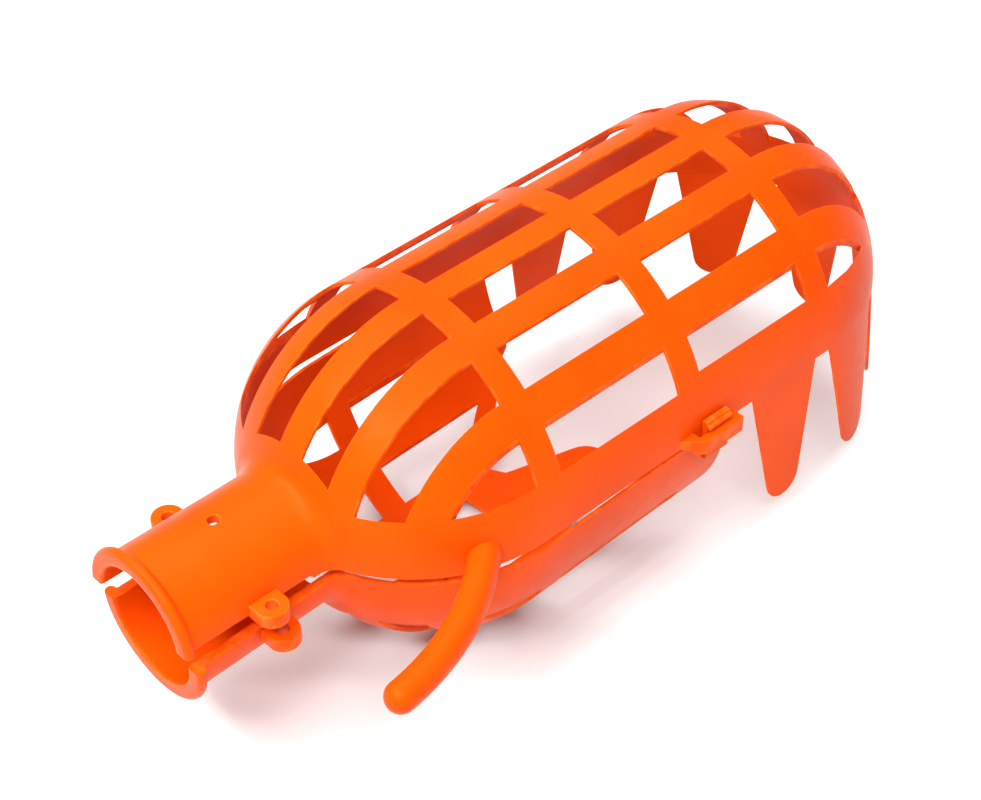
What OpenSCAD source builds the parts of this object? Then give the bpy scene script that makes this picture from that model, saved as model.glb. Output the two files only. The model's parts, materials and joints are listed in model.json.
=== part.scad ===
// Fruit picker head: a two-half plastic basket that fits on the end of a pole.
// The upper half is a barred cage with seven fingers round its open front and a side hook.
// The lower half is a barred scoop that snaps into the upper half and closes on the pole.
// Axes: X runs from the pole socket's mouth to the front, Z is up, Y is to the left.
// The seam between the two halves is the plane Z = 0. Lengths are in millimetres.

/* [Body] */
// Outer radius of the barrel and of both domes
body_r = 63; // [61:0.5:65]
// Wall thickness of the shells and fingers
wall = 1.5; // [1.2:0.1:2.5]
// Distance from the socket mouth to the centre of the rear dome
rear_centre_x = 118.4; // [112:0.2:126]
// Distance between the centres of the two domes
barrel_len = 141; // [138:1:160]

/* [Pole socket] */
// Radius of the bore that takes the pole
bore_r = 19.8; // [17:0.1:21]
// Outer radius of the neck
neck_r = 23.5; // [23:0.1:25]
// Outer radius of the lip round the mouth
lip_r = 26.2; // [25.6:0.1:29]
// Thickness of the lip along the neck
lip_t = 4; // [3:0.1:5]
// Radius of the curve where the neck meets the dome
neck_fillet_r = 8; // [5:0.5:10]
// Diameter of the pole screw hole in the top of the neck
screw_hole_d = 4.4; // [3:0.1:5]
// How far the upper neck's edges and the lower ears stand off the seam, so the screws can squeeze the pole
clamp_gap = 1.8; // [0:0.1:2]

/* [Ears] */
// Distance from the mouth to the clamp screw holes
ear_x = 32.6; // [28:0.1:38]
// Distance from the neck's axis to the clamp screw holes
ear_y = 27.4; // [27:0.1:30]
// Width of an ear along the neck
ear_w = 11.6; // [10:0.1:14]
// Thickness of an ear
ear_t = 5.4; // [4:0.1:7]
// Diameter of the clamp screw holes
ear_hole_d = 4.2; // [3:0.1:5]

/* [Cage windows] */
// Height of the solid band above the seam beside the rear rows of windows
band_rear = 22; // [18:0.5:24]
// Height of the solid band above the seam beside the front rows of windows
band_front = 25; // [20:0.5:27]
// Height of the solid band below the seam, beside the lower half's windows
band_lower = 26.5; // [22:0.5:28]
// Width of the rings between the rows of windows
ring_w = 10.6; // [8:0.1:12]
// Length of the second and third rows of windows
row_len = 55.4; // [50:0.2:58]
// Distance from the mouth to the rear end of the first row of windows
first_row_x = 65; // [63:0.2:75]

/* [Fingers] */
// Length of a finger below the seam
finger_len = 53.5; // [45:0.5:62]
// Width of a finger at the seam
finger_w = 33.4; // [26:0.2:35]
// Width of a finger near its rounded tip
finger_tip_w = 16.6; // [12:0.2:20]
// Spacing of the fingers round the rim
finger_pitch = 41; // [39:0.1:42]
// How far the fingers spread outwards at their tips
finger_flare = 4; // [0:0.5:5]

/* [Hook] */
// Thickness of the round hook
hook_d = 11; // [8:0.2:12]
// Radius of the hook's curve
hook_curve_r = 99.8; // [90:0.2:110]

/* [Latch] */
// Distance from the mouth to the rear end of the latch slots
slot_x = 188.2; // [187.2:0.2:188.4]
// Length of the latch slots
slot_len = 16.8; // [16.5:0.1:18]
// Length of the snap tabs
tab_len = 11.5; // [9:0.1:12]

/* [Lower half] */
// Length of the scoop's side walls from the mouth
scoop_len = 201.5; // [192:0.5:203]
// How far the scoop's middle tongue reaches from the mouth
tongue_reach = 205; // [202:0.5:210]
// Angle the lower half hangs open
rest_open = 2.1; // [0:0.1:4]
// How far the lower half has slid forward in its slots
rest_slide = 3; // [0:0.1:3]

/* [Show] */
// Which piece to draw: all, or the name of one piece

/* [Hidden] */
$fn = 96;
eps = 0.5;
plastic = "#F06010";
inner_r = body_r - wall;
front_centre_x = rear_centre_x + barrel_len;
// Rows of windows, from the rear
row2_x = rear_centre_x + ring_w;
row3_x = row2_x + row_len + ring_w;
row4_x = row3_x + row_len + ring_w - 0.4;
// The shells divide into nodes in the middle of the rings
split_1 = rear_centre_x + ring_w / 2;
split_2 = row3_x - ring_w / 2;
split_3 = row4_x - ring_w / 2;
nose_x = front_centre_x + body_r;
// Sides of the windows, measured out from the middle plane
slot_in = [5.4, 28.4, 50.7];
slot_out = [18.3, 41.9, 59];
side_rear = sqrt(body_r * body_r - band_rear * band_rear);
side_front = sqrt(body_r * body_r - band_front * band_front);
side_lower = sqrt(body_r * body_r - band_lower * band_lower);
// The window walls start this far below the top of the solid band
sill = 5;
// Centre of the curve between neck and dome
fillet_y = neck_r + neck_fillet_r;
fillet_reach = sqrt(pow(body_r + neck_fillet_r, 2) - fillet_y * fillet_y);
fillet_x = rear_centre_x - fillet_reach;
// The neck ends just behind that curve, the dome starts there
neck_end = fillet_x - 2;
clamp_ramp = 1.5;
fillet_end_r = fillet_y * body_r / (body_r + neck_fillet_r);
fillet_end_x = rear_centre_x - fillet_reach * body_r / (body_r + neck_fillet_r);
// Fingers: centre of the round tip, and turn from one finger to the next
finger_tip_y = finger_tip_w / 2 - finger_len;
finger_step = finger_pitch / body_r * 180 / PI;
// Latch: bracket, slot and snap tab
bracket_ramp_x = 181.5;
bracket_full_x = 188.5;
bracket_end_x = 207.2;
bracket_depth = 6.3;
bracket_top = 4;
bracket_bottom = -2;
slot_clear = 3;
tab_gap = 0.15;
tab_t = 2.4;
tab_x = 189;
tab_bottom = -9;
tab_top = 7.6;
barb_z = 4.9;
barb_reach = 1.5;
// Scoop: where the notches beside its middle tongue begin, and the tongue's half widths
notch_x = 169;
tongue_root_y = 17;
tongue_tip_r = 10;
// Lower half: seam gap when closed, pivot of its rocking motion
seam_gap = 0.3;
pivot_x = tab_x + 6 + rest_slide;
pivot_z = 3;
hook_centre = [27.5, 15];
hook_root_angle = -40;
hook_tip_angle = -84.4;

// ---- shared shapes ----

// Turns a profile (x = radius, y = distance along the body) into half a ring.
// side 1 makes the upper half, side -1 the lower half.
module half_turn(side) {
    rotate([0, 90, 0])
        rotate([0, 0, 90 * side])
            rotate_extrude(angle = 180)
                children();
}

// A rectangle between two radii and two distances along the body
module band_2d(r1, r2, x1, x2) {
    translate([r1, x1])
        square([r2 - r1, x2 - x1]);
}

// Wall of the rear dome with the neck's flared end
module rear_wall_2d(x_end) {
    difference() {
        union() {
            intersection() {
                translate([0, rear_centre_x])
                    circle(r = body_r);
                band_2d(0, body_r, neck_end, rear_centre_x);
            }
            band_2d(0, neck_r, neck_end, fillet_end_x);
            difference() {
                band_2d(0, fillet_end_r, fillet_x, fillet_end_x);
                translate([fillet_y, fillet_x])
                    circle(r = neck_fillet_r);
            }
            band_2d(0, body_r, rear_centre_x, x_end);
        }
        intersection() {
            translate([0, rear_centre_x])
                circle(r = inner_r);
            band_2d(0, inner_r, neck_end, rear_centre_x);
        }
        band_2d(0, bore_r, neck_end - eps, rear_centre_x);
        band_2d(0, inner_r, rear_centre_x - eps, x_end + eps);
    }
}

// Wall of the front dome
module front_wall_2d(x_start) {
    difference() {
        union() {
            intersection() {
                translate([0, front_centre_x])
                    circle(r = body_r);
                band_2d(0, body_r, front_centre_x, nose_x);
            }
            band_2d(0, body_r, x_start, front_centre_x);
        }
        intersection() {
            translate([0, front_centre_x])
                circle(r = inner_r);
            band_2d(0, inner_r, front_centre_x - eps, nose_x);
        }
        band_2d(0, inner_r, x_start - eps, front_centre_x);
    }
}

// Plan of one row of six windows
module window_row_2d(x1, x2, side_y) {
    for (i = [0:2])
        for (s = [-1, 1])
            translate([x1, s > 0 ? slot_in[i] : -min(slot_out[i], side_y)])
                square([x2 - x1, min(slot_out[i], side_y) - slot_in[i]]);
}

// Cuts a plan straight up (side 1) or down (side -1) through a shell, clear of the solid band
module cut_from_band(side, band) {
    mirror([0, 0, side > 0 ? 0 : 1])
        translate([0, 0, band - sill])
            linear_extrude(body_r)
                children();
}

// Plan of a rear dome's windows, inside a circle of the given radius
module first_row_2d(side_r) {
    intersection() {
        window_row_2d(first_row_x, rear_centre_x, body_r);
        translate([rear_centre_x, 0])
            circle(r = side_r);
    }
}

module ear(side) {
    difference() {
        union() {
            translate([ear_x - ear_w / 2, side > 0 ? neck_r - 5 : -ear_y, 0])
                cube([ear_w, ear_y - neck_r + 5, ear_t]);
            translate([ear_x, side * ear_y, 0])
                cylinder(r = ear_w / 2, h = ear_t);
        }
        translate([-eps, 0, 0])
            rotate([0, 90, 0])
                cylinder(r = neck_r, h = neck_end);
        translate([ear_x, side * ear_y, -eps])
            cylinder(d = ear_hole_d, h = ear_t + 2 * eps);
    }
}

module lip(side) {
    half_turn(side)
        intersection() {
            band_2d(neck_r, lip_r + eps, 0, lip_t);
            union() {
                band_2d(neck_r - eps, lip_r - lip_t / 2, 0, lip_t);
                translate([lip_r - lip_t / 2, lip_t / 2])
                    circle(d = lip_t);
            }
        }
}

// ---- upper half ----

// Lifts the upper neck's edges off the seam, down to the seam again where the dome begins
module clamp_cut() {
    translate([0, body_r, 0])
        rotate([90, 0, 0])
            linear_extrude(2 * body_r)
                polygon([
                    [-eps, -eps], [neck_end, -eps], [neck_end, 0],
                    [neck_end - clamp_ramp, clamp_gap], [-eps, clamp_gap]
                ]);
}

module upper_neck() {
    color(plastic)
        difference() {
            half_turn(1)
                band_2d(bore_r, neck_r, 0, neck_end);
            translate([ear_x, 0, bore_r - 2])
                cylinder(d = screw_hole_d, h = neck_r - bore_r + 4);
            clamp_cut();
        }
}

module upper_lip() {
    color(plastic)
        difference() {
            lip(1);
            clamp_cut();
        }
}

module upper_ear_left() {
    color(plastic)
        ear(1);
}

module upper_ear_right() {
    color(plastic)
        ear(-1);
}

module rear_dome() {
    color(plastic)
        difference() {
            half_turn(1)
                rear_wall_2d(split_1);
            cut_from_band(1, band_rear)
                first_row_2d(side_rear);
        }
}

module cage_bay_rear() {
    color(plastic)
        difference() {
            half_turn(1)
                band_2d(inner_r, body_r, split_1, split_2);
            cut_from_band(1, band_rear)
                window_row_2d(row2_x, row2_x + row_len, side_rear);
        }
}

module cage_bay_front() {
    color(plastic)
        difference() {
            half_turn(1)
                band_2d(inner_r, body_r, split_2, split_3);
            cut_from_band(1, band_front)
                window_row_2d(row3_x, row3_x + row_len, side_front);
        }
}

module front_dome() {
    color(plastic)
        difference() {
            half_turn(1)
                front_wall_2d(split_3);
            cut_from_band(1, band_front)
                intersection() {
                    window_row_2d(row4_x, nose_x, body_r);
                    translate([front_centre_x, 0])
                        circle(r = side_front);
                }
        }
}

// Flat tapering finger with a round tip: x across its width, y down from the seam
module flat_finger(depth) {
    linear_extrude(depth)
        polygon([
            [-finger_w / 2, 0], [finger_w / 2, 0],
            [finger_tip_w / 2, finger_tip_y], [-finger_tip_w / 2, finger_tip_y]
        ]);
    translate([0, finger_tip_y, 0])
        cylinder(d = finger_tip_w, h = depth);
}

// A finger on the curved front of the rim, turned from straight ahead
module curved_finger(angle) {
    translate([front_centre_x, 0, 0])
        intersection() {
            difference() {
                translate([0, 0, -finger_len])
                    cylinder(r1 = body_r + finger_flare, r2 = body_r, h = finger_len);
                translate([0, 0, -finger_len])
                    cylinder(r1 = inner_r + finger_flare, r2 = inner_r, h = finger_len);
            }
            rotate([0, 0, angle])
                rotate([90, 0, 90])
                    flat_finger(body_r + finger_flare + eps);
        }
}

// A finger on the straight side of the rim, drawn flat and then swung outwards
module side_finger(side) {
    x = front_centre_x + body_r * PI / 2 - 3 * finger_pitch;
    mirror([0, side > 0 ? 0 : 1, 0])
        translate([x, body_r, 0])
            intersection() {
                rotate([atan2(finger_flare, finger_len), 0, 0])
                    translate([0, 0, eps])
                        rotate([90, 0, 0])
                            flat_finger(wall);
                translate([-body_r, -body_r, -body_r])
                    cube([2 * body_r, 2 * body_r, body_r]);
            }
}

module finger_middle() {
    color(plastic)
        curved_finger(0);
}

module finger_left_1() {
    color(plastic)
        curved_finger(finger_step);
}

module finger_left_2() {
    color(plastic)
        curved_finger(2 * finger_step);
}

module finger_left_3() {
    color(plastic)
        side_finger(1);
}

module finger_right_1() {
    color(plastic)
        curved_finger(-finger_step);
}

module finger_right_2() {
    color(plastic)
        curved_finger(-2 * finger_step);
}

module finger_right_3() {
    color(plastic)
        side_finger(-1);
}

// Round hook for pulling branches, curving back along the right-hand side
module hook() {
    color(plastic)
        difference() {
            translate([hook_centre[0], hook_centre[1], hook_d / 2]) {
                rotate([0, 0, hook_tip_angle])
                    rotate_extrude(angle = hook_root_angle - hook_tip_angle)
                        translate([hook_curve_r, 0])
                            circle(d = hook_d);
                rotate([0, 0, hook_tip_angle])
                    translate([hook_curve_r, 0, 0])
                        sphere(d = hook_d);
            }
            translate([rear_centre_x, 0, 0])
                sphere(r = body_r);
        }
}

// Plan of a latch bracket on the left-hand side
module bracket_2d() {
    out_y = body_r + bracket_depth;
    polygon([
        [bracket_ramp_x, body_r - 1], [bracket_ramp_x, body_r + 0.6], [bracket_full_x, out_y],
        [bracket_end_x, out_y], [bracket_end_x, body_r - 1]
    ]);
}

module latch_bracket() {
    difference() {
        translate([0, 0, bracket_bottom])
            linear_extrude(bracket_top - bracket_bottom)
                bracket_2d();
        // the slot, open towards the shell
        translate([slot_x, body_r - 2, bracket_bottom - eps])
            cube([slot_len, slot_clear + 2, bracket_top - bracket_bottom + 2 * eps]);
        // below the seam only the outer wall is left
        translate([bracket_ramp_x - eps, body_r - 2, bracket_bottom - eps])
            cube([bracket_end_x - bracket_ramp_x + 2 * eps, slot_clear + 2, eps - bracket_bottom]);
        // the barrel's own wall
        translate([bracket_ramp_x - eps, 0, 0])
            rotate([0, 90, 0])
                cylinder(r = body_r, h = bracket_end_x - bracket_ramp_x + 2 * eps);
    }
}

module latch_bracket_left() {
    color(plastic)
        latch_bracket();
}

module latch_bracket_right() {
    color(plastic)
        mirror([0, 1, 0])
            latch_bracket();
}

// ---- snap tabs: they slide in the slots with the lower half ----

module snap_tab() {
    translate([tab_x + rest_slide, body_r + tab_gap, tab_bottom])
        cube([tab_len, tab_t, tab_top - tab_bottom]);
    translate([tab_x + rest_slide, body_r + tab_gap, barb_z])
        cube([tab_len, tab_t + barb_reach, tab_top - barb_z - 1]);
}

module snap_tab_left() {
    color(plastic)
        snap_tab();
}

module snap_tab_right() {
    color(plastic)
        mirror([0, 1, 0])
            snap_tab();
}

// ---- lower half, drawn closed and then hung open ----

module lower_ear(side) {
    hung_open()
        translate([0, 0, -clamp_gap])
            mirror([0, 0, 1])
                ear(side);
}

module hung_open() {
    translate([pivot_x, 0, pivot_z])
        rotate([0, -rest_open, 0])
            translate([rest_slide - pivot_x, 0, -pivot_z - seam_gap])
                children();
}

module lower_neck() {
    color(plastic)
        hung_open()
            half_turn(-1)
                band_2d(bore_r, neck_r, 0, neck_end);
}

module lower_lip() {
    color(plastic)
        hung_open()
            lip(-1);
}

module lower_ear_left() {
    color(plastic)
        lower_ear(1);
}

module lower_ear_right() {
    color(plastic)
        lower_ear(-1);
}

module lower_dome() {
    color(plastic)
        hung_open()
            difference() {
                half_turn(-1)
                    rear_wall_2d(split_1);
                cut_from_band(-1, band_lower)
                    first_row_2d(side_lower);
            }
}

// Windows of the scoop, whose front ends follow the scoop's mouth
module scoop_windows_2d() {
    for (s = [0, 1])
        mirror([0, s]) {
            translate([row2_x, slot_in[2]])
                square([row_len, side_lower - slot_in[2]]);
            polygon([
                [row2_x, slot_in[1]], [row2_x, slot_out[1]],
                [178.5, slot_out[1]], [157.5, slot_in[1]]
            ]);
            polygon([
                [row2_x, slot_in[0]], [row2_x, slot_out[0]],
                [148.5, slot_out[0]], [151.5, slot_in[0]]
            ]);
        }
}

// Block with the scoop's plan: side walls, a cut-back mouth and a round-ended middle tongue
module scoop_block() {
    tongue_x = tongue_reach - tongue_tip_r;
    side_y = body_r + eps;
    wall_y = slot_in[2] - 0.3;
    translate([0, 0, -side_y]) {
        linear_extrude(2 * side_y)
            polygon([
                [split_1, -side_y], [scoop_len, -side_y], [scoop_len, -wall_y], [scoop_len - 2, -wall_y],
                [notch_x - 5, -tongue_root_y - 5.7], [notch_x, -tongue_root_y],
                [tongue_x, -tongue_tip_r], [tongue_x, tongue_tip_r],
                [notch_x, tongue_root_y], [notch_x - 5, tongue_root_y + 5.7],
                [scoop_len - 2, wall_y], [scoop_len, wall_y], [scoop_len, side_y], [split_1, side_y]
            ]);
        translate([tongue_x, 0, 0])
            cylinder(r = tongue_tip_r, h = 2 * side_y);
    }
}

module lower_scoop() {
    color(plastic)
        hung_open()
            difference() {
                intersection() {
                    half_turn(-1)
                        band_2d(inner_r, body_r, split_1, tongue_reach + 1);
                    scoop_block();
                }
                cut_from_band(-1, band_lower)
                    scoop_windows_2d();
                // the rim falls away in front of the pivot so the scoop can rock
                translate([pivot_x - rest_slide, -body_r - 1, 0])
                    rotate([0, 6, 0])
                        cube([20, 2 * body_r + 2, 6]);
            }
}

// ---- drawing ----

upper_neck();
upper_lip();
upper_ear_left();
upper_ear_right();
rear_dome();
cage_bay_rear();
cage_bay_front();
front_dome();
finger_middle();
finger_left_1();
finger_left_2();
finger_left_3();
finger_right_1();
finger_right_2();
finger_right_3();
hook();
latch_bracket_left();
latch_bracket_right();
snap_tab_left();
snap_tab_right();
lower_neck();
lower_lip();
lower_ear_left();
lower_ear_right();
lower_dome();
lower_scoop();
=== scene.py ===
"""Looks for the fruit picker head: moulded orange plastic shells with rounded rims on a pale floor."""

import json
import math

import bmesh
import bpy
import numpy as np
from mathutils import Matrix, Vector


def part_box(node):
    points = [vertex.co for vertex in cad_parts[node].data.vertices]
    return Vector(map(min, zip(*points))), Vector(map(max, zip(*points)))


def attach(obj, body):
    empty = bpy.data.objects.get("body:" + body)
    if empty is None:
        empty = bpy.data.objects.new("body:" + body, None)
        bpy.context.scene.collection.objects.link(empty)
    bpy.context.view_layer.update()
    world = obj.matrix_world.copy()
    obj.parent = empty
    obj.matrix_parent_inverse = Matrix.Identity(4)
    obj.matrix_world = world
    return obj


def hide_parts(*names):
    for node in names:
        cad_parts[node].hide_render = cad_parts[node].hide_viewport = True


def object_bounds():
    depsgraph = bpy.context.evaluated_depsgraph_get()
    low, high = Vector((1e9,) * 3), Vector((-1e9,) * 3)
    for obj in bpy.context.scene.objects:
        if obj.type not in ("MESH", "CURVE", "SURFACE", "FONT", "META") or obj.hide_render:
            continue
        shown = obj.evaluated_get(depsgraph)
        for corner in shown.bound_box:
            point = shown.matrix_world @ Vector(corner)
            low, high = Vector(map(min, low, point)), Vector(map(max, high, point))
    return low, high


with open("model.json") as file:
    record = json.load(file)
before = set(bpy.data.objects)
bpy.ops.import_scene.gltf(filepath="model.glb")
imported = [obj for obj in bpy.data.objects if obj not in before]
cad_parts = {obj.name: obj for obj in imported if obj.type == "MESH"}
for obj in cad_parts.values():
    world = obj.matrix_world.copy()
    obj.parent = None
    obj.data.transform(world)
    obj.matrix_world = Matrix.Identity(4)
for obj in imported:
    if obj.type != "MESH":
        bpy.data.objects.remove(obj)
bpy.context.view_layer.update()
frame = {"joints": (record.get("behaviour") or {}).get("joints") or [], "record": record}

# ---- sizes, in metres, from the CAD frame ----

MM = 0.001
BODY_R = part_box("cage_bay_rear")[1].y
WALL = 1.5 * MM
INNER_R = BODY_R - WALL
NECK_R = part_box("upper_neck")[1].y
LIP_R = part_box("upper_lip")[1].y
LIP_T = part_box("upper_lip")[1].x
LIP_FILLET_R = 0.6 * MM
BORE_R = frame["record"]["mounts"][0]["dims"]["r_mm"] * MM
NECK_FILLET_R = 8 * MM
FRONT_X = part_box("front_dome")[1].x - BODY_R

# Rows of windows and the rings between them
RING = 10.6 * MM
RING_X = [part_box(n)[1].x for n in ("rear_dome", "cage_bay_rear", "cage_bay_front")]
REAR_X = RING_X[0] - RING / 2
FIRST_ROW_X = 65 * MM
ROW_START = [x + RING / 2 for x in RING_X]
ROW_END = [x - RING / 2 for x in RING_X]
BAND_REAR = 22 * MM
BAND_FRONT = 25 * MM
SIDE_REAR = math.sqrt(BODY_R ** 2 - BAND_REAR ** 2)
ROW4_DX = ROW_START[2] - FRONT_X
SIDE_FRONT = math.sqrt(BODY_R ** 2 - BAND_FRONT ** 2 - ROW4_DX ** 2)
SLOTS = [(5.4 * MM, 18.3 * MM), (28.4 * MM, 41.9 * MM), (50.7 * MM, SIDE_FRONT)]
BAND_LOWER = 26.5 * MM
SIDE_LOWER = math.sqrt(BODY_R ** 2 - BAND_LOWER ** 2)

# Steps of the mesh between one key row and the next, from the front to the neck
UPPER_STEPS = [7, 14, 3, 12, 3, 12, 3, 14, 7]
LOWER_STEPS = [8, 12, 3, 14, 7]

# The neck joins the dome along a circle just outside its fillet
NECK_JOIN_R = SLOTS[1][0]
NECK_JOIN_X = REAR_X - math.sqrt(BODY_R ** 2 - NECK_JOIN_R ** 2)
BORE_JOIN_X = REAR_X - math.sqrt(INNER_R ** 2 - BORE_R ** 2)
FILLET_X = REAR_X - math.sqrt((BODY_R + NECK_FILLET_R) ** 2 - (NECK_R + NECK_FILLET_R) ** 2)

# Screw holes, clamp ears, and how far the upper neck's edges stand off the seam
HOLE_X = frame["record"]["mounts"][1]["pos_m"][0]
HOLE_R = frame["record"]["mounts"][1]["dims"]["r_mm"] * MM
EAR_Y = frame["record"]["mounts"][2]["pos_m"][1]
EAR_HOLE_R = frame["record"]["mounts"][2]["dims"]["r_mm"] * MM
EAR_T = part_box("upper_ear_left")[1].z
EAR_R = (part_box("upper_ear_left")[1].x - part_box("upper_ear_left")[0].x) / 2
EAR_ROOT_Y = 21.5 * MM
CLAMP_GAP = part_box("upper_lip")[0].z
CLAMP_RAMP = 1.5 * MM
CLAMP_END_X = FILLET_X - 2 * MM

# Fingers
FINGER_LEN = -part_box("finger_middle")[0].z
FINGER_W = 33.4 * MM
FINGER_TIP_R = 8.3 * MM
FINGER_PITCH = 41 * MM
FINGER_FLARE = 4 * MM
SIDE_FINGER_X = (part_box("finger_left_3")[0].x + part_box("finger_left_3")[1].x) / 2
FINGER_RECESS = 0.25 * MM

# Hook: a bent round bar, its ends given as angles on its curve
HOOK_R = 5.5 * MM
HOOK_CURVE_R = 99.8 * MM
HOOK_CENTRE = (27.5 * MM, 15 * MM, HOOK_R)
HOOK_TIP_ANGLE = math.radians(-84.4)
HOOK_ROOT_ANGLE = math.radians(-40)
HOOK_SWELL = 0.08
HOOK_SWELL_REACH = 2 * MM

# Latch: bracket and snap tab
BRACKET_OUT_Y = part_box("latch_bracket_left")[1].y
BRACKET_X = (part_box("latch_bracket_left")[0].x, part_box("latch_bracket_left")[1].x)
BRACKET_Z = (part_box("latch_bracket_left")[0].z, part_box("latch_bracket_left")[1].z)
RAMP_X = (178.5 * MM, 190 * MM)
SLOT_X = (188.2 * MM, 205 * MM)
SLOT_OUT_Y = BODY_R + 3 * MM
TAB_LO, TAB_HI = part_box("snap_tab_left")
TAB_T = 2.4 * MM
BARB_Z = (4.9 * MM, 6.6 * MM)

# Scoop of the lower half, in closed coordinates
SCOOP_X = 201.5 * MM
NOTCH_X = 169 * MM
TONGUE_ROOT_Y = 17 * MM
NOTCH_CORNER_Y = 22.7 * MM
TONGUE_TIP_R = 10 * MM
TONGUE_REACH = 205 * MM
# Where the scoop's windows end: distance from the middle plane, distance along the body
SCOOP_WINDOW_ENDS = np.array([(5.4, 151.5), (18.3, 148.5), (28.4, 157.5), (41.9, 178.5), (50.7, 184.4)]) * MM
RIM_FALL_X = 195 * MM
RIM_FALL = math.tan(math.radians(6))

RIM_R = 0.4 * MM
RIM_STEPS = 4

# The lower half is built closed, then hung as its joints' stored pose has it
slide, hinge = frame["joints"]
PIVOT = Vector(hinge["pos_m"])
SLID = -slide["range_m"][0]
HUNG_OPEN = math.radians(hinge["range_deg"][1])
SEAM_GAP = 0.3 * MM


def hung_open():
    """Moves the closed lower half to where it hangs at rest."""
    turn = Matrix.Rotation(-HUNG_OPEN, 4, "Y")
    closed = Vector((SLID, 0, -SEAM_GAP)) - PIVOT
    return Matrix.Translation(PIVOT) @ turn @ Matrix.Translation(closed)


# ---- mesh tools ----

def weld(outer, inner, faces):
    """Joins points that lie together, and drops faces that have no area left."""
    cell = 0.01 * MM
    keys = np.round((outer + 0.31 * cell) / cell).astype(np.int64)
    _, first, index = np.unique(keys, axis=0, return_index=True, return_inverse=True)
    index = index.reshape(-1)
    kept = []
    for face in faces:
        ring = []
        for corner in index[list(face)]:
            if corner not in ring:
                ring.append(int(corner))
        if len(ring) > 2:
            kept.append(ring)
    return outer[first], inner[first], kept


def rim_edges(faces):
    """Edges that only one face uses, each in that face's direction."""
    count = {}
    for face in faces:
        for a, b in zip(face, face[1:] + face[:1]):
            count[frozenset((a, b))] = count.get(frozenset((a, b)), 0) + 1
    edges = []
    for face in faces:
        for a, b in zip(face, face[1:] + face[:1]):
            if count[frozenset((a, b))] == 1:
                edges.append((a, b, face))
    return edges


def unit(v):
    return v / np.linalg.norm(v)


def inward(points, edges):
    """For each rim point, the step along the sheet that brings both its edges in by 1."""
    sides = {}
    for a, b, face in edges:
        ring = points[face]
        normal = sum(np.cross(ring[i] - ring[0], ring[i + 1] - ring[0]) for i in range(1, len(face) - 1))
        step = unit(np.cross(unit(normal), unit(points[b] - points[a])))
        sides.setdefault(a, []).append(step)
        sides.setdefault(b, []).append(step)
    steps = {}
    for v, near in sides.items():
        total = sum(near)
        if len(near) == 2:
            total = total / max(1 + float(np.dot(near[0], near[1])), 0.4)
        steps[v] = total
    return steps


def bend(start, corner, end, steps=RIM_STEPS):
    """Points of a curve that leaves start and reaches end along the two sides of corner."""
    curve = []
    for k in range(steps + 1):
        t = k / steps
        curve.append(start * (1 - t) ** 2 + corner * 2 * t * (1 - t) + end * t ** 2)
    return curve


def rounded_solid(outer, inner, faces, radius=RIM_R):
    """Points, faces and rim marks of the solid between two sheets, its rims rounded."""
    outer, inner, faces = weld(outer, inner, faces)
    edges = rim_edges(faces)
    step_out = inward(outer, edges)
    step_in = inward(inner, edges)
    count = len(outer)
    top = outer.copy()
    bottom = inner.copy()
    points = []
    chain = {}
    for v in step_out:
        across = inner[v] - outer[v]
        reach = min(radius, 0.45 * np.linalg.norm(across))
        down = unit(across) * reach
        top[v] = outer[v] + step_out[v] * radius
        bottom[v] = inner[v] + step_in[v] * radius
        chain[v] = [v]
        curve = bend(top[v], outer[v], outer[v] + down)[1:] + bend(inner[v] - down, inner[v], bottom[v])[:-1]
        for point in curve:
            chain[v].append(2 * count + len(points))
            points.append(point)
        chain[v].append(count + v)
    solid = [list(face) for face in faces]
    solid += [[count + v for v in reversed(face)] for face in faces]
    for a, b, _ in edges:
        for k in range(len(chain[a]) - 1):
            solid.append([chain[b][k], chain[a][k], chain[a][k + 1], chain[b][k + 1]])
    everything = np.vstack([top, bottom, np.array(points).reshape(-1, 3)])
    return everything, solid, [0.0] * (2 * count) + [1.0] * len(points)


def grid_faces(rows, cols, first=0, skip=()):
    """Faces of a grid of points stored row by row, leaving out the cells in skip."""
    faces = []
    for i in range(rows - 1):
        for j in range(cols - 1):
            if (i, j) not in skip:
                a = first + i * cols + j
                faces.append([a, a + cols, a + cols + 1, a + 1])
    return faces


def make_piece(name, body, nodes, points, faces, marks, material, place=None):
    """A piece in Blender from points and faces, riding on body in place of CAD nodes."""
    mesh = bpy.data.meshes.new(name)
    mesh.from_pydata([tuple(p) for p in points], [], faces)
    attribute = mesh.attributes.new("rim", "FLOAT", "POINT")
    attribute.data.foreach_set("value", np.array(marks, np.float32))
    if place is not None:
        mesh.transform(place)
    bm = bmesh.new()
    bm.from_mesh(mesh)
    loose = [v for v in bm.verts if not v.link_faces]
    bmesh.ops.delete(bm, geom=loose, context="VERTS")
    if bm.calc_volume(signed=True) < 0:
        bmesh.ops.reverse_faces(bm, faces=bm.faces)
    bm.to_mesh(mesh)
    bm.free()
    mesh.shade_smooth()
    mesh.set_sharp_from_angle(angle=math.radians(38))
    mesh.materials.append(material)
    piece = bpy.data.objects.new(name, mesh)
    bpy.context.scene.collection.objects.link(piece)
    weighted = piece.modifiers.new("weighted_normals", "WEIGHTED_NORMAL")
    weighted.keep_sharp = True
    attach(piece, body)
    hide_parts(*nodes)
    return piece


# ---- the two shells ----

def on_body(u, y):
    """Point of the outer surface at distance u along the body on the line that keeps to y.
    Past the barrel's ends u runs round the dome."""
    rho = np.sqrt(np.maximum(BODY_R ** 2 - y ** 2, 0))
    turn = np.where(u > FRONT_X, u - FRONT_X, np.where(u < REAR_X, u - REAR_X, 0)) / BODY_R
    x = np.clip(u, REAR_X, FRONT_X) + rho * np.sin(turn)
    return np.stack([x, y + 0 * u, rho * np.cos(turn)], -1)


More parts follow.
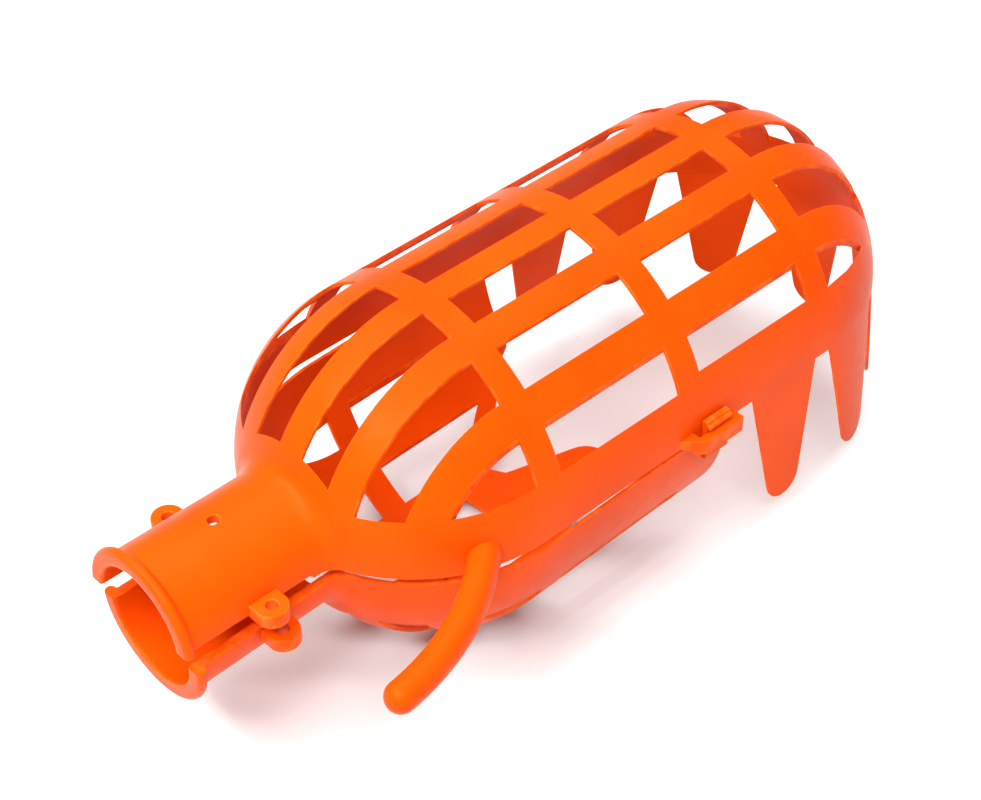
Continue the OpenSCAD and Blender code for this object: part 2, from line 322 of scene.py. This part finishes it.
def inside(points, side):
    """The inner surface's points under outer points: straight below them where the windows are, as far
    as side, and drawn in to the inner rim further down."""
    x = points[..., 0]
    y = points[..., 1]
    centre = np.clip(x, REAR_X, FRONT_X)
    reach = np.maximum(np.hypot(x - centre, y), 1e-9)
    squeeze = (INNER_R - side) / (BODY_R - side)
    drawn = np.where(reach < side, reach, side + (reach - side) * squeeze)
    z = np.sqrt(np.maximum(INNER_R ** 2 - drawn ** 2, 0))
    return np.stack([centre + (x - centre) * drawn / reach, y * drawn / reach, z], -1)


def spread(keys, counts):
    """Values that pass through keys, with counts[i] equal steps after key i."""
    values = [keys[0]]
    for a, b, n in zip(keys, keys[1:], counts):
        values += [a + (b - a) * k / n for k in range(1, n + 1)]
    return values


def columns(sides):
    """Distances from the middle plane of the lines that run along the body, right to left.
    sides are where the outermost windows end."""
    near = spread([0, SLOTS[0][0], SLOTS[0][1]], [3, 5])
    start = math.asin(SLOTS[0][1] / NECK_JOIN_R)
    near += [NECK_JOIN_R * math.sin(a) for a in spread([start, math.pi / 2], [8])[1:]]
    keys = [SLOTS[1][0], SLOTS[1][1], SLOTS[2][0]] + sides
    counts = [5, 4, 4] + [1] * (len(sides) - 1) + [8]
    far = spread([math.asin(k / BODY_R) for k in keys] + [math.pi / 2], counts)
    half = near + [BODY_R * math.sin(a) for a in far[1:]]
    return np.array([-y for y in reversed(half[1:])] + half)


def evened(y):
    """The same lines, spaced evenly across the bar that the neck's edges run into."""
    low, high = SLOTS[0][1], SLOTS[1][0]
    bar = np.where((y > low - 1e-9) & (y < high + 1e-9))[0]
    even = y.copy()
    even[bar] = np.linspace(low, high, len(bar))
    even[len(y) - 1 - bar] = -even[bar]
    return even


def dome_turn(z_top, y):
    """How far round a dome the line at y reaches before it is down to height z_top."""
    rho = np.sqrt(np.maximum(BODY_R ** 2 - y ** 2, 1e-12))
    return np.arccos(np.clip(z_top / rho, -1, 1))


def rear_rows(y, band):
    """Key rows of a rear dome as distances along the body: ring, window ends, and the seam or the neck."""
    side = np.abs(y)
    edge = math.sqrt(BODY_R ** 2 - band ** 2)
    rho = np.sqrt(np.maximum(BODY_R ** 2 - y ** 2, 1e-12))
    by_row = np.arcsin(np.clip((REAR_X - FIRST_ROW_X) / rho, 0, 1))
    window = np.minimum(dome_turn(band, y), by_row)
    beyond = (side - edge) / (BODY_R - edge) * 0.45
    window = np.where(side > edge, beyond, window)
    neck = np.arcsin(np.clip((REAR_X - NECK_JOIN_X) / rho, 0, 1))
    last = np.where(side < NECK_JOIN_R - 1e-9, neck, math.pi / 2)
    return [REAR_X + 0 * y, REAR_X - window * BODY_R, REAR_X - last * BODY_R]


def front_rows(y):
    """Key rows of the front dome: the seam, the band's top, and the row's start."""
    side = np.abs(y)
    rho = np.sqrt(np.maximum(BODY_R ** 2 - y ** 2, 1e-12))
    start = np.arcsin(np.clip(ROW4_DX / rho, 0, ROW4_DX / math.hypot(BAND_FRONT, ROW4_DX)))
    band = dome_turn(BAND_FRONT, y)
    beyond = start + (side - SIDE_FRONT) / (BODY_R - SIDE_FRONT) * 0.5
    band = np.where(side > SIDE_FRONT - 1e-9, beyond, band)
    return [FRONT_X + BODY_R * math.pi / 2 + 0 * y, FRONT_X + band * BODY_R, FRONT_X + start * BODY_R]


def slot_columns(y, outer_edge):
    """Numbers of the cells across that fall in a window."""
    middle = np.abs(y[:-1] + y[1:]) / 2
    slots = SLOTS[:2] + [(SLOTS[2][0], outer_edge)]
    return [j for j, m in enumerate(middle) if any(a < m < b for a, b in slots)]


def fill_rows(key_rows, counts):
    """All rows between the key rows, and the number of each key row."""
    rows = [key_rows[0]]
    places = [0]
    for a, b, n in zip(key_rows, key_rows[1:], counts):
        rows += [a + (b - a) * k / n for k in range(1, n + 1)]
        places.append(len(rows) - 1)
    return np.array(rows), places


def join_bore(outer, inner, first, y):
    """Leads the inner surface from under the windows' ends to the bore, over the rows from first on."""
    last = len(outer) - 1
    angle = np.arcsin(np.clip(y / NECK_JOIN_R, -1, 1))
    goal = np.stack([BORE_JOIN_X + 0 * y, BORE_R * np.sin(angle), BORE_R * np.cos(angle)], -1)
    edge = math.asin(BORE_R / INNER_R)
    near, far = math.asin(SLOTS[1][0] / BODY_R), math.asin(SLOTS[1][1] / BODY_R)
    natural = np.arcsin(np.clip(np.abs(y) / BODY_R, 0, 1))
    azimuth = np.interp(natural, [near, far], [edge, far])
    azimuth = np.where(natural > far, natural, azimuth)
    seam = np.stack([REAR_X - INNER_R * np.cos(azimuth), np.sign(y) * INNER_R * np.sin(azimuth), 0 * y], -1)
    goal = np.where((np.abs(y) < NECK_JOIN_R + 1e-9)[:, None], goal, seam)
    centre = np.array([REAR_X, 0, 0])
    start = inner[first].copy()
    for i in range(first + 1, last + 1):
        t = (i - first) / (last - first)
        mix = start * (1 - t) + goal * t - centre
        inner[i] = centre + mix / np.linalg.norm(mix, axis=-1, keepdims=True) * INNER_R
    inner[last] = goal


def neck_profile():
    """Pairs of points (x, radius) along the neck's outside and its bore, from the dome to the mouth."""
    fillet_y = NECK_R + NECK_FILLET_R
    end = math.atan2(fillet_y, REAR_X - FILLET_X)
    outside = []
    for a in spread([-end, -math.pi / 2], [6]):
        outside.append((FILLET_X + NECK_FILLET_R * math.cos(a), fillet_y + NECK_FILLET_R * math.sin(a)))
    hole_rows = [HOLE_X + k * 1.5 * MM for k in range(4, -5, -1)]
    root = LIP_T + LIP_FILLET_R
    behind = spread([FILLET_X, hole_rows[0]], [9])[1:]
    ahead = spread([hole_rows[-1], root], [6])[1:]
    for x in behind + hole_rows[1:] + ahead:
        outside.append((x, NECK_R))
    straight = len(outside) - 1
    for a in spread([-math.pi / 2, -math.pi], [3])[1:]:
        outside.append((root + LIP_FILLET_R * math.cos(a), NECK_R + LIP_FILLET_R * (1 + math.sin(a))))
    bead = LIP_T / 2
    for a in spread([0, math.pi], [10]):
        outside.append((bead + bead * math.cos(a), LIP_R - bead + bead * math.sin(a)))
    outside += [(0, BORE_R + 3 * MM), (0, BORE_R + 1.5 * MM)]
    bore = []
    for i, (x, _) in enumerate(outside[:straight + 1]):
        bore.append((min(x, BORE_JOIN_X - (i + 1) / straight * MM), BORE_R))
    for x in spread([root, 1.2 * MM], [len(outside) - straight - 2])[1:]:
        bore.append((x, BORE_R))
    bore.append((0.2 * MM, BORE_R + 0.4 * MM))
    return outside, bore


def neck_point(x, r, angle, gap):
    """Points round the neck at radius r, whose edges stand gap off the seam once past the dome."""
    share = min(max((CLAMP_END_X - x) / CLAMP_RAMP, 0), 1)
    angle = angle * (1 - share * math.asin(gap / r) / (math.pi / 2))
    return np.stack([x + 0 * angle, r * np.sin(angle), r * np.cos(angle)], -1)


def neck_block(y, last_outer, last_inner, gap):
    """Outer and inner points of the neck, starting from the dome's last row."""
    angle = np.arcsin(np.clip(y / NECK_JOIN_R, -1, 1))
    outer = [last_outer]
    inner = [last_inner]
    for (x, r), (x_in, r_in) in zip(*neck_profile()):
        outer.append(neck_point(x, r, angle, gap))
        inner.append(neck_point(x_in, r_in, angle, gap))
    return np.array(outer), np.array(inner)


def open_hole(outer, inner):
    """Opens the screw hole in the top of the neck: a block of 4 by 4 cells becomes round."""
    rows, cols = outer.shape[:2]
    middle = cols // 2
    centre = int(np.argmin(np.abs(outer[:, middle, 0] - HOLE_X) + (np.abs(inner[:, middle, 0] - HOLE_X))))
    skip = set()
    for i in range(-2, 3):
        for j in range(-2, 3):
            if i < 2 and j < 2:
                skip.add((centre + i, middle + j))
            if max(abs(i), abs(j)) == 2:
                spot = outer[centre + i, middle + j]
                offset = np.array([spot[0] - HOLE_X, spot[1]])
                x, y = offset / np.linalg.norm(offset) * HOLE_R
                outer[centre + i, middle + j] = (HOLE_X + x, y, math.sqrt(NECK_R ** 2 - y ** 2))
                inner[centre + i, middle + j] = (HOLE_X + x, y, math.sqrt(BORE_R ** 2 - y ** 2))
    return skip


def shell(rows, row_y, places, windows, y, gap):
    """Sheets and faces of one half: body and neck. windows lists (first row, last row, outer edge).
    gap is how far the neck's edges stand off the seam; only the half that has one has a screw hole."""
    outer = on_body(rows, row_y)
    inner = inside(outer, windows[-1][2])
    join_bore(outer, inner, places[-2], y)
    skip = set()
    for first, last, edge in windows:
        for j in slot_columns(y, edge):
            skip.update((i, j) for i in range(first, last))
    faces = grid_faces(len(rows), len(y), 0, skip)
    in_neck = np.where(np.abs(y) < NECK_JOIN_R + 1e-9)[0]
    neck_out, neck_in = neck_block(y[in_neck], outer[-1, in_neck], inner[-1, in_neck], gap)
    drilled = open_hole(neck_out, neck_in) if gap else ()
    faces += grid_faces(len(neck_out), len(in_neck), rows.size, drilled)
    outer = np.vstack([outer.reshape(-1, 3), neck_out.reshape(-1, 3)])
    inner = np.vstack([inner.reshape(-1, 3), neck_in.reshape(-1, 3)])
    return outer, inner, faces


def upper_shell(material):
    y = columns([SIDE_FRONT, SIDE_REAR])
    keys = front_rows(y)
    for x in (ROW_END[2], ROW_START[1], ROW_END[1], ROW_START[0]):
        keys.append(x + 0 * y)
    keys += rear_rows(y, BAND_REAR)
    rows, at = fill_rows(keys, UPPER_STEPS)
    row_y, _ = fill_rows([evened(y)] * len(UPPER_STEPS) + [y], UPPER_STEPS)
    windows = [(at[1], at[2], SIDE_FRONT), (at[3], at[4], SIDE_FRONT),
               (at[5], at[6], SIDE_REAR), (at[7], at[8], SIDE_REAR)]
    outer, inner, faces = shell(rows, row_y, at, windows, y, CLAMP_GAP)
    points, solid, marks = rounded_solid(outer, inner, faces)
    nodes = ["upper_neck", "upper_lip", "rear_dome", "cage_bay_rear", "cage_bay_front", "front_dome"]
    make_piece("upper_shell", "upper_half", nodes, points, solid, marks, material)


def scoop_mouth(y):
    """The scoop's front edge in plan: for each column its x and y. The middle part is the tongue's root."""
    side = np.abs(y)
    corner = side[np.argmin(np.abs(side - NOTCH_CORNER_Y))]
    keys = np.array([(0, NOTCH_X, 0),
                     (SLOTS[0][1], NOTCH_X, TONGUE_ROOT_Y),
                     (corner, NOTCH_X - 5 * MM, NOTCH_CORNER_Y),
                     (50 * MM, SCOOP_X - 2.5 * MM, 50 * MM),
                     (50.7 * MM, SCOOP_X, 50.4 * MM),
                     (BODY_R, SCOOP_X, BODY_R)])
    x = np.interp(side, keys[:, 0], keys[:, 1])
    return x, np.sign(y) * np.interp(side, keys[:, 0], keys[:, 2])


def lower_shell(material):
    y = columns([SIDE_LOWER])
    even = evened(y)
    mouth_x, mouth_y = scoop_mouth(even)
    window_end = np.interp(np.abs(y), SCOOP_WINDOW_ENDS[:, 0], SCOOP_WINDOW_ENDS[:, 1])
    keys = [mouth_x, window_end, ROW_START[0] + 0 * y] + rear_rows(y, BAND_LOWER)
    rows, at = fill_rows(keys, LOWER_STEPS)
    row_y, _ = fill_rows([mouth_y, even, even, even, even, y], LOWER_STEPS)
    windows = [(at[1], at[2], SIDE_LOWER), (at[3], at[4], SIDE_LOWER)]
    outer, inner, faces = shell(rows, row_y, at, windows, y, 0)

    root = np.abs(y) < SLOTS[0][1] + 1e-9
    patch = tongue_patch(mouth_y[root], TONGUE_TIP_R, TONGUE_REACH - NOTCH_X, 12)
    tongue = on_body(NOTCH_X + patch[..., 1], patch[..., 0])
    faces += [face[::-1] for face in grid_faces(*patch.shape[:2], first=len(outer))]
    outer = np.vstack([outer, tongue.reshape(-1, 3)])
    inner = np.vstack([inner, inside(tongue, SIDE_LOWER).reshape(-1, 3)])
    for sheet in (outer, inner):
        fall = (sheet[:, 0] - RIM_FALL_X) * RIM_FALL
        sheet[:, 2] = np.maximum(sheet[:, 2], fall)
    points, solid, marks = rounded_solid(outer, inner, faces)
    place = hung_open() @ Matrix.Diagonal((1, 1, -1, 1))
    nodes = ["lower_neck", "lower_lip", "lower_dome", "lower_scoop"]
    make_piece("lower_shell", "lower_half", nodes, points, solid, marks, material, place)


# ---- fingers ----

def blend_patch(top, bottom, left, right):
    """Points of a grid between four border lines; rows run from top to bottom."""
    rows, cols = len(left), len(top)
    patch = np.zeros((rows, cols, top.shape[-1]))
    for i in range(rows):
        for j in range(cols):
            s, t = i / (rows - 1), j / (cols - 1)
            along = top[j] * (1 - s) + bottom[j] * s + left[i] * (1 - t) + right[i] * t
            corners = (top[0] * (1 - s) + bottom[0] * s) * (1 - t) + (top[-1] * (1 - s) + bottom[-1] * s) * t
            patch[i, j] = along - corners
    return patch


def by_length(line, count):
    """count points spaced evenly along a line of points."""
    steps = np.linalg.norm(np.diff(line, axis=0), axis=1)
    at = np.concatenate([[0], np.cumsum(steps)])
    even = np.linspace(0, at[-1], count)
    return np.stack([np.interp(even, at, line[:, k]) for k in range(line.shape[1])], -1)


def tongue_patch(root, tip_r, length, rows):
    """Grid over a tapering tongue with a round tip: x across it, y from its root towards its tip.
    root holds the places of the columns across the root."""
    cols = len(root)
    centre = np.array([0, length - tip_r])
    taper = math.atan2(root[-1] - tip_r, length - tip_r)
    side = {}
    for s in (-1, 1):
        arc = [centre + tip_r * np.array([s * math.cos(a), math.sin(a)])
               for a in np.linspace(taper, math.pi / 4, 8)]
        side[s] = by_length(np.array([[s * root[-1], 0.0]] + arc), rows)
    bottom = np.array([centre + tip_r * np.array([-math.cos(a), math.sin(a)])
                       for a in np.linspace(math.pi / 4, 3 * math.pi / 4, cols)])
    top = np.stack([root, 0 * root], -1)
    return blend_patch(top, bottom, side[-1], side[1])


def finger(name, place, material, side=0):
    """One finger. place is its turn round the front, or on a straight side its distance along it."""
    rise = 1.0 * MM
    root = np.linspace(-FINGER_W / 2, FINGER_W / 2, 13)
    patch = tongue_patch(root, FINGER_TIP_R, FINGER_LEN + rise, 20)
    across, down = patch[..., 0], rise - patch[..., 1]
    flare = FINGER_FLARE * np.maximum(-down, 0) / FINGER_LEN
    sheets = []
    for r in (BODY_R - FINGER_RECESS + flare, INNER_R + FINGER_RECESS + flare):
        if side:
            sheets.append(np.stack([place + across, side * r, down], -1))
        else:
            turn = place + np.arcsin(across / r)
            sheets.append(np.stack([FRONT_X + r * np.cos(turn), r * np.sin(turn), down], -1))
    faces = grid_faces(*patch.shape[:2])
    points, solid, marks = rounded_solid(sheets[0].reshape(-1, 3), sheets[1].reshape(-1, 3), faces)
    make_piece("look_" + name, "upper_half", [name], points, solid, marks, material)


# ---- ears, hook and latch ----

def ear_outline():
    """Outline of an ear seen from above, round the screw hole's centre: round end, straight sides, root."""
    low = EAR_ROOT_Y - EAR_Y
    line = [(EAR_R * math.cos(a), EAR_R * math.sin(a)) for a in np.linspace(0, math.pi, 25)]
    line += [(-EAR_R, low * k / 4) for k in range(1, 5)]
    line += [(-EAR_R + 2 * EAR_R * k / 8, low) for k in range(1, 9)]
    line += [(EAR_R, low * (4 - k) / 4) for k in range(1, 5)]
    return np.array(line)


def ear(name, body, material, place):
    """One clamp ear with its screw hole; place puts it on its side and half."""
    outline = ear_outline()
    hole = outline / np.linalg.norm(outline, axis=1, keepdims=True) * EAR_HOLE_R
    rings = np.array([hole * (1 - t) + outline * t for t in np.linspace(0, 1, 6)])
    plan = rings.reshape(-1, 2) + np.array([HOLE_X, EAR_Y])
    top = np.column_stack([plan, np.full(len(plan), EAR_T)])
    bottom = np.column_stack([plan, np.zeros(len(plan))])
    points, solid, marks = rounded_solid(top, bottom, grid_faces(*rings.shape[:2]), 0.6 * MM)
    make_piece("look_" + name, body, [name], points, solid, marks, material, place)


def hook(material):
    """The hook's bent round bar: a rounded tip, and a root that swells where it leaves the dome."""
    sides = 28
    dome = np.array([REAR_X, 0, 0])
    rings = []
    sink = BODY_R - 0.8 * MM
    for share in np.linspace(0, 1, 8):
        back = HOOK_R * math.cos(share * math.pi / 2)
        rings.append((HOOK_TIP_ANGLE - back / HOOK_CURVE_R, HOOK_R * math.sin(share * math.pi / 2)))
    for angle in np.linspace(HOOK_TIP_ANGLE, HOOK_ROOT_ANGLE, 44)[1:]:
        rings.append((angle, HOOK_R))
    points = []
    for angle, r in rings:
        out = np.array([math.cos(angle), math.sin(angle), 0])
        middle = np.array(HOOK_CENTRE) + out * HOOK_CURVE_R
        above = np.linalg.norm(middle - dome) - BODY_R
        swell = 1 + HOOK_SWELL * math.exp(-(max(above, 0) / HOOK_SWELL_REACH) ** 2)
        for k in range(sides):
            a = 2 * math.pi * k / sides
            point = middle + r * swell * (out * math.cos(a) + np.array([0, 0, math.sin(a)]))
            point[2] = max(point[2], 0.1 * MM)
            reach = np.linalg.norm(point - dome)
            if reach < sink:
                point = dome + (point - dome) * sink / reach
            points.append(point)
    faces = []
    for i in range(len(rings) - 1):
        for k in range(sides):
            m = (k + 1) % sides
            faces.append([i * sides + k, i * sides + m, (i + 1) * sides + m, (i + 1) * sides + k])
    points, _, faces = weld(np.array(points), np.array(points), faces)
    faces.append(last_ring(points, faces))
    make_piece("look_hook", "upper_half", ["hook"], points, faces, [0.0] * len(points), material)


def last_ring(points, faces):
    """The points round the one opening left in a closed tube, in order."""
    follow = {b: a for a, b, _ in rim_edges(faces)}
    ring = [next(iter(follow))]
    while follow[ring[-1]] != ring[0]:
        ring.append(follow[ring[-1]])
    return ring


def rounded_path(corners, radius):
    """A closed outline through corners, each of them rounded."""
    corners = [np.array(c) for c in corners]
    line = []
    for i, corner in enumerate(corners):
        before, after = corners[i - 1] - corner, corners[(i + 1) % len(corners)] - corner
        reach = min(radius, 0.4 * np.linalg.norm(before), 0.4 * np.linalg.norm(after))
        line += bend(corner + unit(before) * reach, corner, corner + unit(after) * reach, 3)
    return np.array(line)


def latch_bracket(name, side, material):
    """Strap that flares out from the wall round the slot, higher underneath beside the wall."""
    foot = BODY_R - 1.4 * MM
    x = np.array(spread([RAMP_X[0], SLOT_X[0], RAMP_X[1], SLOT_X[1], BRACKET_X[1] - MM, BRACKET_X[1]],
                        [10, 2, 5, 1, 1]))
    rise = np.clip((x - RAMP_X[0]) / (RAMP_X[1] - RAMP_X[0]), 0, 1)
    reach = (BRACKET_OUT_Y - foot) * rise ** 2 * (3 - 2 * rise)
    reach[-1] -= 0.6 * MM
    lane = (SLOT_OUT_Y - foot) / (BRACKET_OUT_Y - foot)
    y = np.array([foot + 0 * x, foot + reach * lane, foot + reach])
    low = np.interp(y, [SLOT_OUT_Y - 0.6 * MM, SLOT_OUT_Y], [0.1 * MM, BRACKET_Z[0]])
    top = np.stack([x + 0 * y, y, BRACKET_Z[1] + 0 * y], -1).reshape(-1, 3)
    bottom = np.stack([x + 0 * y, y, low], -1).reshape(-1, 3)
    in_slot = {(0, k) for k in range(len(x) - 1) if SLOT_X[0] < (x[k] + x[k + 1]) / 2 < SLOT_X[1]}
    points, solid, marks = rounded_solid(top, bottom, grid_faces(3, len(x), 0, in_slot), 0.35 * MM)
    place = Matrix.Diagonal((1, side, 1, 1))
    make_piece("look_" + name, "upper_half", [name], points, solid, marks, material, place)


def snap_tab(name, side, material):
    """Tab that reaches up through the slot, with a barb on its outer face."""
    face_y = TAB_LO.y + TAB_T
    stem = [(TAB_LO.y, TAB_LO.z), (face_y, TAB_LO.z)]
    barb = [(face_y, BARB_Z[0]), (TAB_HI.y, BARB_Z[0]), (TAB_HI.y, BARB_Z[1]), (face_y, BARB_Z[1])]
    top = [(face_y, TAB_HI.z), (TAB_LO.y, TAB_HI.z)]
    outline = rounded_path(stem + barb + top, 0.5 * MM)
    front = np.column_stack([np.full(len(outline), TAB_HI.x), outline])
    back = np.column_stack([np.full(len(outline), TAB_LO.x), outline])
    points, solid, marks = rounded_solid(front, back, [list(range(len(outline)))], 0.25 * MM)
    place = Matrix.Diagonal((1, side, 1, 1))
    make_piece("look_" + name, "latch_tabs", [name], points, solid, marks, material, place)


# ---- materials ----

FLOW_SCALE = 22
SCUFF_SCALE = 160
GRAIN_SCALE = 2600
ORANGE_DEEP = (0.64, 0.052, 0.0004, 1)
ORANGE_BRIGHT = (0.74, 0.066, 0.001, 1)
# Paler orange for the rims: partly scuffed plastic, partly a painted highlight on the rounded edges.
ORANGE_WORN_AND_HIGHLIT = (0.95, 0.15, 0.015, 1)
SHEEN_TINT = (1.0, 0.45, 0.2, 1)
GLOSS_IOR = 1.2
SMOOTHEST, ROUGHEST = 0.3, 0.42
FLOW_HEIGHT = 0.4 * MM
GRAIN_HEIGHT = 0.03 * MM


def noise(nodes, links, where, scale, detail, roughness=0.5):
    """A noise texture in the piece's own coordinates; scale is in features per metre."""
    texture = nodes.new("ShaderNodeTexNoise")
    texture.inputs["Scale"].default_value = scale
    texture.inputs["Detail"].default_value = detail
    texture.inputs["Roughness"].default_value = roughness
    links.new(where.outputs["Object"], texture.inputs["Vector"])
    return texture.outputs["Fac"]


def spread_over(nodes, links, value, low, high, out_low, out_high):
    """Maps a value from one range to another."""
    scaled = nodes.new("ShaderNodeMapRange")
    scaled.inputs["From Min"].default_value = low
    scaled.inputs["From Max"].default_value = high
    scaled.inputs["To Min"].default_value = out_low
    scaled.inputs["To Max"].default_value = out_high
    links.new(value, scaled.inputs["Value"])
    return scaled.outputs["Result"]


def mixed(nodes, links, share, first, second):
    """Mixes two colours, each a node's output or a plain colour, by share."""
    mix = nodes.new("ShaderNodeMix")
    mix.data_type = "RGBA"
    links.new(share, mix.inputs[0])
    for socket, colour in ((mix.inputs[6], first), (mix.inputs[7], second)):
        if isinstance(colour, tuple):
            socket.default_value = colour
        else:
            links.new(colour, socket)
    return mix.outputs[2]


def times(nodes, links, first, second):
    """Product of two values."""
    product = nodes.new("ShaderNodeMath")
    product.operation = "MULTIPLY"
    links.new(first, product.inputs[0])
    links.new(second, product.inputs[1])
    return product.outputs["Value"]


def bumped(nodes, links, height, distance, strength, under=None):
    """A bump of the given height in metres, on top of another bump."""
    bump = nodes.new("ShaderNodeBump")
    bump.inputs["Distance"].default_value = distance
    bump.inputs["Strength"].default_value = strength
    links.new(height, bump.inputs["Height"])
    if under is not None:
        links.new(under, bump.inputs["Normal"])
    return bump.outputs["Normal"]


def plastic_material():
    """Orange moulded plastic: soft flow marks, a fine moulded grain, and paler rims, partly scuffs and
    partly a painted highlight along the rounded edges.
    """
    material = bpy.data.materials.new("orange_plastic")
    material.use_nodes = True
    nodes = material.node_tree.nodes
    links = material.node_tree.links
    shader = nodes["Principled BSDF"]
    where = nodes.new("ShaderNodeTexCoord")
    flow = noise(nodes, links, where, FLOW_SCALE, 3)
    scuff = noise(nodes, links, where, SCUFF_SCALE, 5, 0.65)
    grain = noise(nodes, links, where, GRAIN_SCALE, 2)
    rim = nodes.new("ShaderNodeAttribute")
    rim.attribute_name = "rim"
    # Rims turn paler in scuff patches: partly wear, partly a painted highlight along the rounded edges.
    patches = spread_over(nodes, links, scuff, 0.42, 0.62, 0, 0.55)
    worn_and_highlit = times(nodes, links, rim.outputs["Fac"], patches)

    body = mixed(nodes, links, spread_over(nodes, links, flow, 0.35, 0.65, 0, 1), ORANGE_DEEP, ORANGE_BRIGHT)
    links.new(mixed(nodes, links, worn_and_highlit, body, ORANGE_WORN_AND_HIGHLIT), shader.inputs["Base Color"])
    rough = spread_over(nodes, links, scuff, 0.3, 0.7, SMOOTHEST, ROUGHEST)
    links.new(rough, shader.inputs["Roughness"])
    waves = bumped(nodes, links, flow, FLOW_HEIGHT, 0.25)
    links.new(bumped(nodes, links, grain, GRAIN_HEIGHT, 0.35, waves), shader.inputs["Normal"])
    shader.inputs["IOR"].default_value = GLOSS_IOR
    shader.inputs["Specular Tint"].default_value = SHEEN_TINT
    return material


plastic = plastic_material()
upper_shell(plastic)
lower_shell(plastic)
for name, place in (("finger_middle", 0), ("finger_left_1", 1), ("finger_left_2", 2),
                    ("finger_right_1", -1), ("finger_right_2", -2)):
    finger(name, place * FINGER_PITCH / BODY_R, plastic)
hook(plastic)
for word, side in (("left", 1), ("right", -1)):
    finger("finger_" + word + "_3", SIDE_FINGER_X, plastic, side)
    ear("upper_ear_" + word, "upper_half", plastic, Matrix.Diagonal((1, side, 1, 1)))
    below = Matrix.Translation((0, 0, -CLAMP_GAP)) @ Matrix.Diagonal((1, side, -1, 1))
    ear("lower_ear_" + word, "lower_half", plastic, hung_open() @ below)
    latch_bracket("latch_bracket_" + word, side, plastic)
    snap_tab("snap_tab_" + word, side, plastic)

# ---- floor, lights and camera ----

FLOOR_HALF = 6.0
FLOOR_COLOUR = (0.64, 0.64, 0.64, 1)
FLOOR_ROUGHNESS = 0.9
AIR_LIGHT = 0.3
SKY_POWER = 4.1
SKY_SPREAD = math.radians(75)
SKY_TURN = (math.radians(-6), math.radians(-5), 0)
STRIP_TARGET = (0.05, 0, 0)
STRIP_SIZE = (0.9, 0.12)
STRIP_POWER = 9
LENS = 84.3
SENSOR = 36
CAMERA_PLACE = (-0.2490, -0.4457, 0.5358)
CAMERA_FORWARD = (0.499, 0.555, -0.666)
CAMERA_RIGHT = (0.735, -0.678, -0.014)

mesh = bpy.data.meshes.new("floor")
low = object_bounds()[0].z
corners = [(x * FLOOR_HALF, y * FLOOR_HALF, low) for x, y in ((-1, -1), (1, -1), (1, 1), (-1, 1))]
mesh.from_pydata(corners, [], [(0, 1, 2, 3)])
floor = bpy.data.objects.new("floor", mesh)
bpy.context.scene.collection.objects.link(floor)
paint = bpy.data.materials.new("pale_floor")
paint.use_nodes = True
paint.node_tree.nodes["Principled BSDF"].inputs["Base Color"].default_value = FLOOR_COLOUR
paint.node_tree.nodes["Principled BSDF"].inputs["Roughness"].default_value = FLOOR_ROUGHNESS
mesh.materials.append(paint)

world = bpy.data.worlds.new("studio")
bpy.context.scene.world = world
world.use_nodes = True
world.node_tree.nodes["Background"].inputs["Color"].default_value = (1, 1, 1, 1)
world.node_tree.nodes["Background"].inputs["Strength"].default_value = AIR_LIGHT
bpy.context.scene.view_settings.view_transform = "Standard"


def area_light(name, place, target, size, power):
    """A soft rectangular light; size is its width and height."""
    light = bpy.data.lights.new(name, "AREA")
    light.shape = "RECTANGLE"
    light.size, light.size_y = size
    light.energy = power
    lamp = bpy.data.objects.new(name, light)
    lamp.location = place
    lamp.rotation_euler = (Vector(target) - Vector(place)).to_track_quat("-Z", "Y").to_euler()
    bpy.context.scene.collection.objects.link(lamp)


sky_light = bpy.data.lights.new("sky_light", "SUN")
sky_light.energy = SKY_POWER
sky_light.angle = SKY_SPREAD
sky = bpy.data.objects.new("sky_light", sky_light)
sky.rotation_euler = SKY_TURN
bpy.context.scene.collection.objects.link(sky)
area_light("strip_left", (-0.5, 0.1, 0.8), STRIP_TARGET, STRIP_SIZE, STRIP_POWER)
area_light("strip_right", (-0.35, -0.45, 0.9), STRIP_TARGET, STRIP_SIZE, STRIP_POWER)

camera_data = bpy.data.cameras.new("camera")
camera_data.lens = LENS
camera_data.sensor_width = SENSOR
camera = bpy.data.objects.new("camera", camera_data)
bpy.context.scene.collection.objects.link(camera)
forward = Vector(CAMERA_FORWARD).normalized()
right = Vector(CAMERA_RIGHT).normalized()
up = right.cross(forward)
turn = Matrix((right, up, -forward)).transposed()
camera.matrix_world = Matrix.Translation(CAMERA_PLACE) @ turn.to_4x4()
bpy.context.scene.camera = camera
